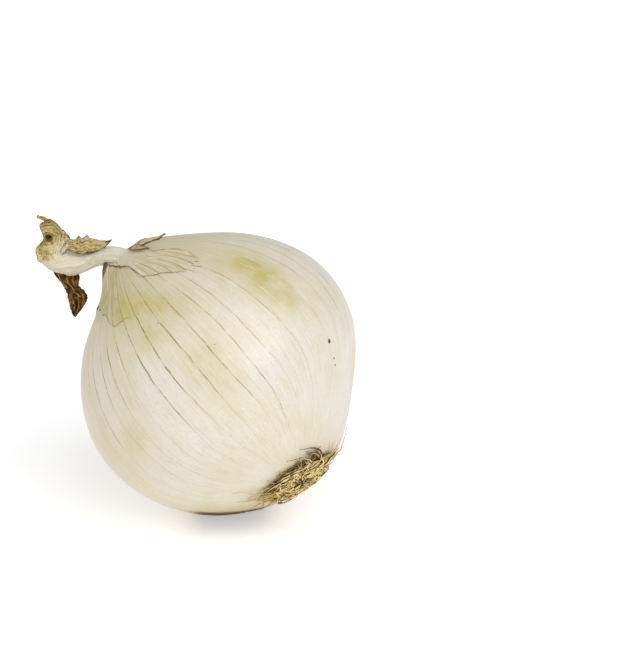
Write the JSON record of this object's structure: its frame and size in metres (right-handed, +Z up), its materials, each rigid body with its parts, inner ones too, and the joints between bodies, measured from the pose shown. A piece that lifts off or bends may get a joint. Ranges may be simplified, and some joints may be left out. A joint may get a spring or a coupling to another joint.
{
  "type": "white onion",
  "caption": "Whole white onion lying on its side: swollen veined bulb, torn dry collar, bent papery neck with withered leaf ends, and a mat of dry roots; rests on a small flat spot",
  "frame": {"origin": "the middle of the flat spot on which the bulb rests", "axes": "+Z is up; the neck points to -X, up and a little to +Y; the root tuft faces +X, down and a little to -Y"},
  "size_m": [0.0949, 0.0866, 0.0881],
  "materials": {
    "bulb": "satin, slightly waxy",
    "dry_skin": "thin and papery",
    "crumpled_leaf_end": "dry and crumpled",
    "side_leaf_end": "dry with a ragged rim",
    "hanging_leaf_end": "dark and withered",
    "root_tuft": "dry and fibrous"
  },
  "bodies": {
    "root": {"bulb": "bulb", "dry_skin": "dry_skin", "crumpled_leaf_end": "crumpled_leaf_end", "side_leaf_end": "side_leaf_end", "hanging_leaf_end": "hanging_leaf_end", "root_tuft": "root_tuft"}
  },
  "joints": []
}
